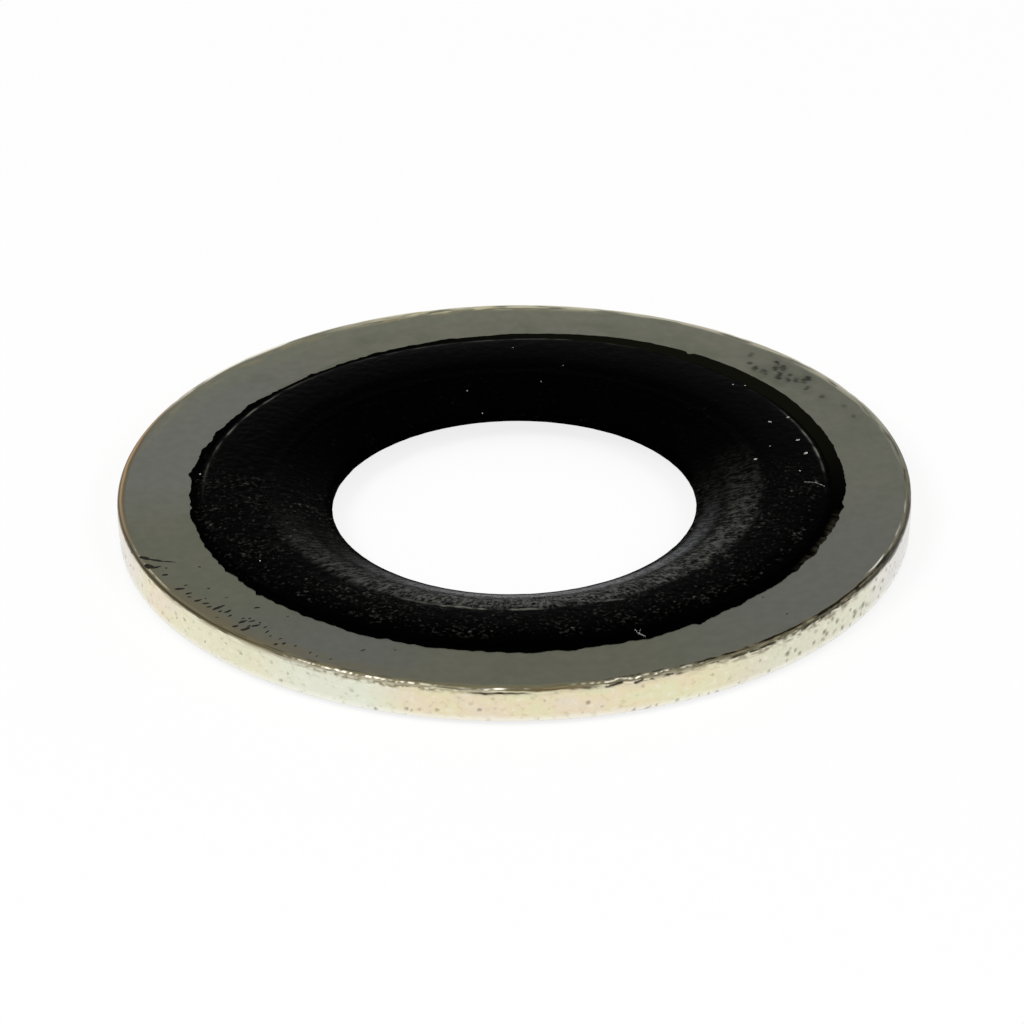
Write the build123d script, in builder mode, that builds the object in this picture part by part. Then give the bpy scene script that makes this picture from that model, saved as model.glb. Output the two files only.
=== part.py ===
from build123d import *
import os

# A bonded sealing washer, as fitted under a drain plug: a blanked and plated steel ring with a
# rubber seal moulded in its bore and bonded to the bore's wall. Tightening the plug squeezes the
# seal's two crowns flush with the steel faces. The seal's thin inner lip centres the washer on
# the bolt, and keeps it there until the plug is fitted.
#
# Millimetres, +Z up along the bolt's axis. The origin is on that axis, at the surface that the
# washer rests on with its lower crown. Both pieces are revolved from their sections, which are
# drawn outwards from the axis and upwards from the washer's middle plane.

# Widths, from the bolt's axis outwards
bolt_bore_diameter = 13.1
seal_width = 4.85  # from the bolt bore out to the wall that the seal is bonded to
ring_width = 2.9  # from that wall out to the ring's outer edge

# Steel ring, blanked from sheet
ring_thickness = 1.4
edge_roll_radius = 0.2  # the upper edge, drawn down as the sheet went into the die
burnished_height = 0.5  # the straight band that the die polished below the rolled edge
fracture_set_back = 0.05  # how far the torn lower band leans in towards the lower face
bore_chamfer = 0.2  # at both ends of the bore, filled with rubber level with the steel

# Rubber seal, the same on both faces
lip_thickness = 0.18  # at the bolt bore
lip_edge_break = 0.04
taper_width = 2.2  # from the bolt bore out to the crown
taper_top_proud = 0.1  # the taper's outer end, above the steel face
taper_blend_radius = 0.8  # where the taper turns into the crown
crown_proud = 0.2  # the crown's crest, above the steel face
crown_edge_proud = 0.14  # the crown's outer edge, above the steel face
crown_edge_break = 0.04
crown_wall_draft = 0.07  # how far the crown's outer wall leans, so that it leaves the mould

# Places that follow from the sizes above
lip_radius = bolt_bore_diameter / 2
bond_radius = lip_radius + seal_width
ring_radius = bond_radius + ring_width
half_thickness = ring_thickness / 2
taper_top_radius = lip_radius + taper_width
crown_edge_place = bond_radius - crown_wall_draft
crest_place = (taper_top_radius + crown_edge_place) / 2

taper_top = (taper_top_radius, half_thickness + taper_top_proud)
crest = (crest_place, half_thickness + crown_proud)
crown_edge = (crown_edge_place, half_thickness + crown_edge_proud)
crown_foot = (bond_radius, half_thickness)

# The steel bore's wall from face to face, where the rubber is bonded to it
bore_wall = [
    (bond_radius + bore_chamfer, half_thickness),
    (bond_radius, half_thickness - bore_chamfer),
    (bond_radius, bore_chamfer - half_thickness),
    (bond_radius + bore_chamfer, -half_thickness),
]

# The sections stand on this plane, with their own Y along the bolt's axis
middle_height = half_thickness + crown_proud
section_plane = Plane(origin=(0, 0, middle_height), x_dir=(1, 0, 0), z_dir=(0, -1, 0))
corner_reach = 0.001  # how near to a place a corner lies that is picked there


def corners_at(section, radius):
    """The section's corners at this distance from the bolt's axis."""
    nearest, furthest = radius - corner_reach, radius + corner_reach
    return section.vertices().filter_by_position(Axis.X, nearest, furthest)


# Steel ring: its outer edge keeps the three bands that blanking leaves
with BuildPart() as steel_ring:
    with BuildSketch(section_plane) as ring_section:
        with BuildLine():
            Polyline(
                *bore_wall,
                (ring_radius - fracture_set_back, -half_thickness),
                (ring_radius, half_thickness - edge_roll_radius - burnished_height),
                (ring_radius, half_thickness),
                close=True,
            )
        make_face()
        fillet(corners_at(ring_section, ring_radius).sort_by(Axis.Y)[-1], edge_roll_radius)
    revolve(axis=Axis.Z)

# Rubber seal: the upper half of its section runs from the lip over the crown to the bonded wall
with BuildPart() as rubber_seal:
    with BuildSketch(section_plane) as seal_section:
        with BuildLine():
            lip_land = Line((lip_radius, 0), (lip_radius, lip_thickness / 2))
            Line(lip_land @ 1, taper_top)
            TangentArc(crest, taper_top, tangent=(-1, 0))
            TangentArc(crest, crown_edge, tangent=(1, 0))
            Polyline(crown_edge, crown_foot, *bore_wall[:2], (bond_radius, 0))
            mirror(about=Plane.XZ)
        make_face()
        fillet(corners_at(seal_section, taper_top_radius), taper_blend_radius)
        chamfer(corners_at(seal_section, crown_edge_place), crown_edge_break)
        lip_corners = corners_at(seal_section, lip_radius).sort_by(Axis.Y)
        chamfer([lip_corners[0], lip_corners[-1]], lip_edge_break)
    revolve(axis=Axis.Z)

steel_ring.part.label = "steel_ring"
rubber_seal.part.label = "rubber_seal"

os.makedirs("parts", exist_ok=True)
export_step(steel_ring.part, "parts/steel_ring.step")
export_step(rubber_seal.part, "parts/rubber_seal.step")

print(f"steel ring: {steel_ring.part.volume:.2f} mm3")
print(f"rubber seal: {rubber_seal.part.volume:.2f} mm3")
for wall in rubber_seal.faces().filter_by(GeomType.CYLINDER).sort_by(SortBy.AREA):
    size = wall.bounding_box().size
    print(f"round wall {size.X:.2f} mm across and {size.Z:.3f} mm long")
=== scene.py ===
# %% [markdown]
# # A bonded sealing washer, dressed in Blender
#
# The washer seals a drain plug. It is two real pieces: a ring blanked from plated steel sheet, and
# a rubber seal moulded in the ring's bore and bonded to its wall. The CAD solids give their sizes.
# This lesson adds what making and wear leave behind: the rolled and torn edge, the skin of rubber
# that crept over the steel, wrinkles, dust, stains and the finishes.
#
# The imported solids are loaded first, as a frame that stays still. Everything else is placed in
# it: +Z is up along the bolt's axis, and the washer rests on Z = 0.

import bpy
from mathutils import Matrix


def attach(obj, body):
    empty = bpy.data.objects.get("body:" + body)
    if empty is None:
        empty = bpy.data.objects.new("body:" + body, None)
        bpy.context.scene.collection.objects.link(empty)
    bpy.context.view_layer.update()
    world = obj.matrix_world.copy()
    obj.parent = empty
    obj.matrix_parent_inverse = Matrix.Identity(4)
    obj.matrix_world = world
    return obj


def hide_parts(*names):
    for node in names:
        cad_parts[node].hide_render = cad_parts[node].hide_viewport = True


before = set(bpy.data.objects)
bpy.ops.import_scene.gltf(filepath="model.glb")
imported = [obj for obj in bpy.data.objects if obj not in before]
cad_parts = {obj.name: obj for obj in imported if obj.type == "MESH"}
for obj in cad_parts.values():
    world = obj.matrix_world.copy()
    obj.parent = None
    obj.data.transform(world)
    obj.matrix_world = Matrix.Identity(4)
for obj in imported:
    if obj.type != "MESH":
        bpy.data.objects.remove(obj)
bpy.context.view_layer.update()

# %% Blender's own modules, and the unit
import math
import random

import bmesh
import bpy
from mathutils import Matrix, Vector, noise
from mathutils.bvhtree import BVHTree
from mathutils.kdtree import KDTree

MM = 0.001  # Blender works in metres here, and a washer is thought of in millimetres
FULL_TURN = math.tau
noise.seed_set(3)  # its vectors would change with the clock otherwise
scene = bpy.context.scene
print("Blender", bpy.app.version_string)

# %% [markdown]
# ## The camera
#
# A lens close to a small part makes its near side look swollen. A long lens from well back turns
# its circle into a clean ellipse. The camera stands in front of the washer, about 29 degrees up,
# and is rolled by less than a degree, as a hand-set camera is. Its lens is shifted a little, which
# moves the picture without turning the camera.

# %% A long lens from well back
camera_rise = math.radians(28.91)  # above the horizon
camera_distance = 400.4 * MM  # from the middle of the steel's upper face
camera_roll = math.radians(-0.72)
camera_lens = 390.85  # focal length in mm, on the usual 36 mm sensor
lens_shift = (-0.0021, -0.0221)  # in widths of the picture
upper_face = 1.6  # mm, the height of the steel's upper face

camera_data = bpy.data.cameras.new("studio_camera")
camera_data.lens = camera_lens
camera_data.shift_x, camera_data.shift_y = lens_shift
camera = bpy.data.objects.new("studio_camera", camera_data)
scene.collection.objects.link(camera)
away = Vector((0, -math.cos(camera_rise), math.sin(camera_rise)))
camera.location = Vector((0, 0, upper_face * MM)) + away * camera_distance
look_down = Matrix.Rotation(math.pi / 2 - camera_rise, 3, "X")
camera.rotation_euler = (look_down @ Matrix.Rotation(camera_roll, 3, "Z")).to_euler()
scene.camera = camera
print("camera at", [round(value, 4) for value in camera.location])

# %% [markdown]
# ## Colours and nodes
#
# Colours are written as the hex values that a maker reads off a swatch. Blender mixes light in
# linear values, so one function turns a hex colour into those. A second one adds a shader node,
# sets what it is told to, links what comes from another node, and hands back the node's output.
# Sockets go by name or by number: a Mix node's 6 and 7 are its two colours, 2 and 3 its numbers.

# %% One function for colours, one for nodes
def linear(hex_colour):
    """A hex sRGB colour as the linear red, green, blue and alpha that a shader mixes."""
    def channel(start):
        value = int(hex_colour[start:start + 2], 16) / 255
        return value / 12.92 if value <= 0.04045 else ((value + 0.055) / 1.055) ** 2.4
    return (channel(1), channel(3), channel(5), 1.0)


def add_node(tree, kind, inputs=None, output=None, stops=(), **settings):
    """Adds a shader node of this kind with these settings and hands back one of its outputs.

    inputs gives its sockets a value, or a link where the value is an output of another node. stops
    are the places and hex colours of a colour ramp. output names the output that is wanted, which
    otherwise is the first one that the settings leave switched on.
    """
    node = tree.nodes.new("ShaderNode" + kind)
    for name, value in settings.items():
        setattr(node, name, value)
    for socket, value in (inputs or {}).items():
        if isinstance(value, bpy.types.NodeSocket):
            tree.links.new(value, node.inputs[socket])
        else:
            node.inputs[socket].default_value = value
    if stops:
        elements = node.color_ramp.elements
        while len(elements) < len(stops):
            elements.new(1.0)
        for element, (position, colour) in zip(elements, stops):
            element.position, element.color = position, linear(colour)
    if output:
        return node.outputs[output]
    return next((socket for socket in node.outputs if socket.enabled), None)


print("mid grey is", round(linear("#808080")[0], 3), "in linear light")

# %% [markdown]
# ## The table and the light
#
# A plain white table with white card round it. Metal shows what stands round it, so the camera's
# rays and the mirror rays see the table and the card at full white, while the light that they
# throw on the washer stays lower. About a fifth of the table's white is a true diffuse surface, so
# that it keeps the washer's soft shadow.

# %% White card all round
def seen_by(tree, *rays):
    """1 for these kinds of ray, and 0 for all others."""
    seen = 0.0
    for ray in rays:
        hit = add_node(tree, "LightPath", output=ray)
        seen = add_node(tree, "Math", {0: seen, 1: hit}, operation="MAXIMUM")
    return seen


card_light = 0.55  # how strongly the card lights matt surfaces
world = bpy.data.worlds.new("white_card")
scene.world = world
world.use_nodes = True
world.cycles.sampling_method = "NONE"
card = world.node_tree
card.nodes.clear()
seen = seen_by(card, "Is Camera Ray", "Is Glossy Ray", "Is Transmission Ray")
strength = add_node(card, "MapRange", {"Value": seen, "To Min": card_light, "To Max": 1.0})
white = add_node(card, "Background", {"Color": linear("#ffffff"), "Strength": strength})
add_node(card, "OutputWorld", {"Surface": white})
print("the card lights matt surfaces at", card_light)

# %% A white table that keeps the shadow
table_half = 1.5  # metres
table_drop = 0.002 * MM  # below the washer, so that they never share a plane
table_mesh = bpy.data.meshes.new("table")
table_shape = bmesh.new()
bmesh.ops.create_grid(table_shape, x_segments=1, y_segments=1, size=table_half)
table_shape.to_mesh(table_mesh)
table_shape.free()
table = bpy.data.objects.new("table", table_mesh)
table.location.z = -table_drop
scene.collection.objects.link(table)

table_paint = bpy.data.materials.new("white_table")
table_paint.use_nodes = True
tree = table_paint.node_tree
tree.nodes.clear()
matt = add_node(tree, "BsdfDiffuse", {"Color": linear("#ffffff")})
glow = add_node(tree, "Emission", {
    "Color": linear("#ffffff"), "Strength": seen_by(tree, "Is Camera Ray", "Is Glossy Ray"),
})
shadow_share = 0.18  # of the table's white, the part that a shadow can take away
surface = add_node(tree, "MixShader", {"Fac": shadow_share, 1: glow, 2: matt})
add_node(tree, "OutputMaterial", {"Surface": surface})
table_mesh.materials.append(table_paint)
print("the table is", 2 * table_half, "m wide")

# %% Two soft lamps
def add_lamp(name, place, size, power):
    """A square soft box of this size at this place, in metres, turned towards the washer."""
    data = bpy.data.lights.new(name, "AREA")
    data.size = size
    data.energy = power
    lamp = bpy.data.objects.new(name, data)
    lamp.location = place
    lamp.rotation_euler = (-Vector(place)).to_track_quat("-Z", "Y").to_euler()
    scene.collection.objects.link(lamp)


add_lamp("key_soft_box", (-0.30, -0.28, 0.45), 0.25, 1.4)
add_lamp("fill_soft_box", (0.30, -0.34, 0.40), 0.25, 0.8)
print("lamps:", [lamp.name for lamp in bpy.data.lights])

# %% [markdown]
# ## Sections that are spun
#
# Both pieces are round, so each is drawn as a section, a chain of edges in the XZ plane, and spun
# round the bolt's axis. It could be a curve with a Screw modifier, but a spun bmesh can then be
# worn: its points are moved by noise, which gives pits, nicks and wrinkles as real shape. So the
# section's corners are placed, rounded with a vertex bevel, divided finely where detail comes
# later, and spun.

# %% Drawing and rounding a section
def start_section(corners, closed=True):
    """A chain of edges through these (radius, height) corners, in millimetres."""
    section = bmesh.new()
    points = [section.verts.new((radius * MM, 0, height * MM)) for radius, height in corners]
    for point, following in zip(points, points[1:] + points[:1] if closed else points[1:]):
        section.edges.new((point, following))
    print("a section of", len(points), "corners")
    return section


def round_corner(section, corner, reach, segments):
    """Rounds the corner nearest to this place, starting this far from it along both edges."""
    place = Vector((corner[0], 0, corner[1])) * MM
    nearest = min(section.verts, key=lambda point: (point.co - place).length)
    bmesh.ops.bevel(section, geom=[nearest], offset=reach * MM, offset_type="ABSOLUTE",
                    segments=segments, profile=0.5, affect="VERTICES", material=-1)


# %% Dividing and spinning it
merge_reach = 0.0005 * MM


def divide_section(section, longest, radii, heights):
    """Divides the edges whose middles lie between these radii and heights to this length in mm."""
    for edge in section.edges[:]:
        middle = (edge.verts[0].co + edge.verts[1].co) / (2 * MM)
        if radii[0] <= middle.x <= radii[1] and heights[0] <= middle.z <= heights[1]:
            cuts = math.ceil(edge.calc_length() / (longest * MM)) - 1
            if cuts > 0:
                bmesh.ops.subdivide_edges(section, edges=[edge], cuts=cuts)


def spin_section(section, steps, sectors=30):
    """Spins the section a full turn round the bolt's axis and closes its seams.

    A short sector is spun first and then copied round, which is far quicker than many short steps.
    """
    around = {"cent": (0, 0, 0), "axis": (0, 0, 1), "dvec": (0, 0, 0), "use_merge": False}
    bmesh.ops.remove_doubles(section, verts=section.verts[:], dist=merge_reach)
    bmesh.ops.spin(section, geom=section.verts[:] + section.edges[:], steps=steps // sectors,
                   angle=FULL_TURN / sectors, use_duplicate=False, **around)
    sector = section.verts[:] + section.edges[:] + section.faces[:]
    bmesh.ops.spin(section, geom=sector, steps=sectors - 1,
                   angle=FULL_TURN * (sectors - 1) / sectors, use_duplicate=True, **around)
    bmesh.ops.remove_doubles(section, verts=section.verts[:], dist=merge_reach)
    bmesh.ops.recalc_face_normals(section, faces=section.faces[:])
    open_edges = sum(len(edge.link_faces) != 2 for edge in section.edges)
    print("spun to", len(section.verts), "points,", len(section.faces), "faces,",
          open_edges, "open edges")


# %% Measuring a point, and noise that runs round the ring
noise_radius = 11.0  # mm, where a lump of noise has the length that is asked for
layer_step = 37.7  # far enough apart that two layers of noise have nothing in common


def measured(point):
    """A point's distance from the axis and its height, in millimetres, and its turn."""
    x, y, z = point.co
    return math.hypot(x, y) / MM, z / MM, math.atan2(y, x)


def ring_noise(turn, across, length, width, layer, octaves=2):
    """Noise, about -1 to 1, in lumps of this length round the ring and this width across it.

    Each layer, a whole number, is a noise of its own.
    """
    reach = noise_radius / length
    place = Vector((math.cos(turn) * reach, math.sin(turn) * reach,
                    across / width + layer_step * layer))
    return noise.fractal(place, 1.0, 2.0, octaves)


def swell(turn, centre, spread):
    """A smooth rise from 0 to 1 and back, this many degrees to each side of the centre."""
    apart = (math.degrees(turn) - centre + 180) % 360 - 180
    return 0.5 + 0.5 * math.cos(math.pi * apart / spread) if abs(apart) < spread else 0.0


def limited(value):
    """The value, kept between 0 and 1."""
    return max(0.0, min(1.0, value))


print("noise sample:", round(ring_noise(1.0, 0.0, 2.0, 1.0, 1), 3))

# %% [markdown]
# ## The finishing of a piece
#
# A finished piece is shaded smooth with its true corners kept sharp. It rides on the washer's one
# body and, where it stands for a solid of the CAD model, replaces it. These calls could follow
# each piece, but one function makes sure that no piece misses a step.

# %% From a bmesh to a finished piece
sharp_corner = math.radians(50)


def finish_piece(shape, name, finish, replaced=None):
    """Makes the object, gives it its finish and hands it to the frame."""
    for face in shape.faces:
        face.smooth = True
    for edge in shape.edges:
        edge.smooth = edge.calc_face_angle(0) < sharp_corner
    mesh = bpy.data.meshes.new(name)
    shape.to_mesh(mesh)
    shape.free()
    mesh.materials.append(finish)
    piece = bpy.data.objects.new(name, mesh)
    scene.collection.objects.link(piece)
    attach(piece, "root")
    if replaced:
        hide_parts(replaced)
    print(name, "has", sum(len(face.vertices) - 2 for face in mesh.polygons), "triangles")


# %% [markdown]
# ## Patterns and finishes
#
# The finishes change round the ring and across it. A painted picture could hold that, but it would
# need a flat map of each piece and have a fixed size. So helpers tell a shader where a point is as
# a maker would measure it: its direction from the axis and its distance from it. Where a colour or
# a shine shows is then the product of a few smooth fades.

# %% Where a point is, in millimetres
def start_finish(name):
    """A new material, its node tree, and the sockets of its surface."""
    finish = bpy.data.materials.new(name)
    finish.use_nodes = True
    tree = finish.node_tree
    return finish, tree, tree.nodes["Principled BSDF"].inputs


def place_in_mm(tree):
    """Where the point is in the frame, in millimetres."""
    metres = add_node(tree, "TexCoord", output="Object")
    return add_node(tree, "VectorMath", {0: metres, "Scale": 1 / MM}, operation="SCALE")


def round_place(tree, place):
    """The direction from the bolt's axis, and the distance from it, of a place in millimetres."""
    flat = add_node(tree, "VectorMath", {0: place, 1: (1, 1, 0)}, operation="MULTIPLY")
    direction = add_node(tree, "VectorMath", {0: flat}, operation="NORMALIZE")
    return direction, add_node(tree, "VectorMath", {0: flat}, operation="LENGTH")


def ring_pattern(tree, direction, across, length, width, layer, detail=3.0):
    """A noise, about 0 to 1, in lumps of this length round the ring and this width across it."""
    around = add_node(tree, "VectorMath", {
        0: direction, "Scale": noise_radius / length}, operation="SCALE")
    outward = add_node(tree, "Math", {
        0: across, 1: 1 / width, 2: layer_step * layer}, operation="MULTIPLY_ADD")
    upward = add_node(tree, "CombineXYZ", {"Z": outward})
    place = add_node(tree, "VectorMath", {0: around, 1: upward}, operation="ADD")
    return add_node(tree, "TexNoise", {
        "Vector": place, "Scale": 1.0, "Detail": detail, "Roughness": 0.6})


# %% How much of a finish shows
def amount(tree, *parts):
    """The product of its parts, each an output of a node or a fade.

    A fade is a value, where it starts and where it ends, in millimetres for a radius or a height.
    Between those it goes smoothly from 0 to 1, or from low to high where those two follow.
    """
    product = None
    for part in parts:
        if isinstance(part, tuple):
            value, start, end, low, high = part if len(part) == 5 else (*part, 0.0, 1.0)
            part = add_node(tree, "MapRange", {
                "Value": value, "From Min": start, "From Max": end,
                "To Min": low, "To Max": high}, interpolation_type="SMOOTHSTEP")
        product = part if product is None else add_node(
            tree, "Math", {0: product, 1: part}, operation="MULTIPLY")
    return product


def near_turn(tree, direction, centre, spread, most=1.0):
    """The most at this turn in degrees, 0 being +X and 90 +Y, fading to 0 this far from it."""
    towards = (math.cos(math.radians(centre)), math.sin(math.radians(centre)), 0)
    along = add_node(tree, "VectorMath", {0: direction, 1: towards}, operation="DOT_PRODUCT")
    return amount(tree, (along, math.cos(math.radians(spread)), 1.0, 0.0, most))


# %% [markdown]
# ## Plated steel
#
# The ring is cold-rolled sheet, blanked and then zinc plated, with a thin chromate film over the
# zinc. A rolled face comes out matt and olive grey, faintly clouded with green and violet. The die
# burnished the blanked edge, so the same plating is bright there, between cream and straw. Part of
# that difference is painted light: the face's colour holds painted shade, and the edge's colour the
# light that falls on it.
#
# It could be two materials, one for each kind of face. One material that fades between the two
# finishes round the rolled corner gives the ragged border that tumbling in the barrel leaves.
# Colours go over each other as thin layers, and each layer says where it shows and how strongly.

# %% The rolled face of the plating
plating, tree, metal = start_finish("chromated_zinc_plating")
metal["Metallic"].default_value = 1.0
place = place_in_mm(tree)
direction, radius = round_place(tree, place)
height = add_node(tree, "SeparateXYZ", {0: place}, output="Z")

cloud_size = 1.5  # mm, the drifts in the film's thickness
clouds = add_node(tree, "TexNoise", {
    "Vector": place, "Scale": 1 / cloud_size, "Detail": 5.0, "Roughness": 0.6})
# the face's olive grey, partly painted shade
face_colour = add_node(tree, "ValToRGB", {"Fac": clouds}, stops=[
    (0.25, "#585a4b"), (0.44, "#5f6152"), (0.54, "#646357"), (0.75, "#676658")])
face_patches = [  # turn and spread in degrees, share and colour of each
    (285, 75, 0.70, "#575848"), (158, 38, 0.75, "#60625c"), (238, 22, 0.75, "#585a55"),
    # the patch at turn 328 is painted shade: the face darker where shade fell
    (328, 40, 0.75, "#5a5c56"), (209, 32, 0.60, "#555747"), (15, 30, 0.50, "#595b50"),
]
layers = [(near_turn(tree, direction, centre, spread, share), tint)
          for centre, spread, share, tint in face_patches]
# painted highlight: on the far side the face is lighter towards its outer edge
far_side = near_turn(tree, direction, 105, 65)
layers.append((amount(tree, far_side, (radius, 12.8, 13.3, 0.0, 0.6)), "#686a5a"))
for share, tint in layers:
    face_colour = add_node(tree, "Mix", {
        "Factor": share, 6: face_colour, 7: linear(tint)}, data_type="RGBA")
print(len(layers), "tints on the face")

# %% The face's crystals, film and stain
satin_size = 0.4  # mm, of the crystals' faint mottling, drawn coarser than it is so that it shows
satin = add_node(tree, "TexNoise", {"Vector": place, "Scale": 1 / satin_size, "Detail": 3.0})
face_colour = add_node(tree, "VectorMath", {
    0: face_colour, "Scale": amount(tree, (satin, 0.3, 0.7, 0.95, 1.05))}, operation="SCALE")
film = amount(tree, (radius, 13.3, 14.1, 0.0, 0.9), near_turn(tree, direction, 228, 34),
              (ring_pattern(tree, direction, radius, 1.5, 0.5, 9), 0.3, 0.6))
stain = add_node(tree, "Attribute", attribute_name="stain", output="Fac")
for share, tint in [(film, "#625a42"), (stain, "#171609")]:
    face_colour = add_node(tree, "Mix", {
        "Factor": share, 6: face_colour, 7: linear(tint)}, data_type="RGBA")
print("satin of", satin_size, "mm on the face")

# %% The blanked edge of the plating
straw = ring_pattern(tree, direction, height, 1.7, 1.3, 2, 4.0)
# the edge's pale cream, partly painted light
edge_colour = add_node(tree, "ValToRGB", {"Fac": straw}, stops=[
    (0.30, "#e3e5cc"), (0.42, "#e4e1bd"), (0.52, "#e7dcb8"), (0.62, "#e8dac0"),
    (0.74, "#e3dccd")])
# the whitish patches at turns 180, 0 and 343, at the ring's two ends where the edge is seen at a
# glancing angle, are painted reflection
edge_patches = [  # turn and spread in degrees, and colour of each
    (226, 20, "#e5e4cb"), (243, 13, "#e2e7d8"), (180, 28, "#e2dede"),
    (0, 40, "#dedddb"), (318, 22, "#dadbc9"), (343, 13, "#dedad8"),
]
mottle_size = 0.22  # mm, of the faint dots on the burnished band
mottle = ring_pattern(tree, direction, height, mottle_size, mottle_size, 8, 2.0)
pits = add_node(tree, "Attribute", attribute_name="pits", output="Fac")
layers = [(near_turn(tree, direction, centre, spread, 0.75), tint)
          for centre, spread, tint in edge_patches]
layers += [
    (amount(tree, (height, 0.5, 0.2, 0.0, 0.8)), "#f6f4ea"),  # a painted highlight: the torn band whitened towards the bottom, where it catches the light
    (amount(tree, (mottle, 0.54, 0.75, 0.0, 0.34)), "#b4ab90"),
    (amount(tree, (mottle, 0.48, 0.25, 0.0, 0.36)), "#f3f1e8"),
    # painted shade: darker in the pits
    (pits, "#5f5a4c"),
]
for share, tint in layers:
    edge_colour = add_node(tree, "Mix", {
        "Factor": share, 6: edge_colour, 7: linear(tint)}, data_type="RGBA")
print(len(layers), "tints on the edge")

# %% Where the two meet, on the rolled corner
roll_out, roll_up = 14.1, 1.4  # mm, the radius and the height where the corner starts to roll
beyond = []
for value, start in [(radius, roll_out), (height, roll_up)]:
    past = add_node(tree, "Math", {0: value, 1: start}, operation="SUBTRACT")
    beyond.append(add_node(tree, "Math", {0: past, 1: 0.0}, operation="MAXIMUM"))
roll = add_node(tree, "Math", {0: beyond[0], 1: beyond[1]}, operation="ARCTAN2")
roll = add_node(tree, "Math", {0: roll, 1: 2 / math.pi}, operation="MULTIPLY")
# roll is now 0 on the flat face and 1 on the edge
ragged = ring_pattern(tree, direction, roll, 0.6, 1.0, 3)
border = add_node(tree, "Math", {0: ragged, 1: 0.45, 2: roll}, operation="MULTIPLY_ADD")
on_edge = amount(tree, (border, 0.95, 1.10))
# the corner's painted glints, dark lines and tints
corner_strokes = add_node(tree, "Attribute", attribute_name="corner_paint", output="Color")
colour = face_colour
for share, tint in [(on_edge, edge_colour), (corner_strokes.node.outputs["Alpha"], corner_strokes)]:
    colour = add_node(tree, "Mix", {"Factor": share, 6: colour, 7: tint}, data_type="RGBA")
tree.links.new(colour, metal["Base Color"])
face_roughness, edge_roughness = 0.48, 0.25  # rolled and matt, burnished and bright
tree.links.new(amount(tree, (on_edge, 0.0, 1.0, face_roughness, edge_roughness)),
               metal["Roughness"])
print(plating.name, "has", len(tree.nodes), "nodes")

# %% [markdown]
# ## The steel ring
#
# As the punch goes down, it first draws the sheet's edge into a rolled corner, the die then
# burnishes a straight band, and the last half tears and leans in a little. A plain cylinder with a
# bevel would give one clean edge all round. The section has all three, with the corner as a bevel,
# and it is divided finely only where wear comes later, which keeps the ring light elsewhere.

# %% The ring's section, spun
ring_radius, bond_radius = 14.3, 11.4  # mm, of the blank and of its bore
lower_face, bore_chamfer = 0.2, 0.1  # mm
torn_top, torn_lean = 0.9, 0.05  # mm, where the burnished band ends, and how far the rest leans
face_start, border_start = 12.3, 13.5  # mm, radii where the upper face is divided more finely
roll_radius = 0.2  # mm
ring_section = start_section([
    (bond_radius + bore_chamfer, upper_face), (bond_radius, upper_face - bore_chamfer),
    (bond_radius, lower_face + bore_chamfer), (bond_radius + bore_chamfer, lower_face),
    (ring_radius - torn_lean, lower_face), (ring_radius, torn_top), (ring_radius, upper_face),
    (border_start, upper_face), (face_start, upper_face),
])
round_corner(ring_section, (ring_radius, upper_face), roll_radius, 12)
round_corner(ring_section, (ring_radius - torn_lean, lower_face), 0.03, 2)
for longest, radii, heights in [  # in mm
    (0.05, (14.2, 14.4), (0.21, 1.39)),  # the blanked edge
    (0.04, (border_start, 14.05), (1.5, 1.7)),  # the upper face's border, where glints and tints are painted
    (0.10, (face_start, border_start), (1.5, 1.7)),  # the upper face, where it is stained
    (0.27, (11.51, face_start), (1.5, 1.7)),  # the upper face, near the rubber
    (0.50, (11.51, 14.2), (0.1, 0.3)),  # the lower face
]:
    divide_section(ring_section, longest, radii, heights)
ring_steps = 1200  # of 0.075 mm at the edge
spin_section(ring_section, ring_steps)
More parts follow.
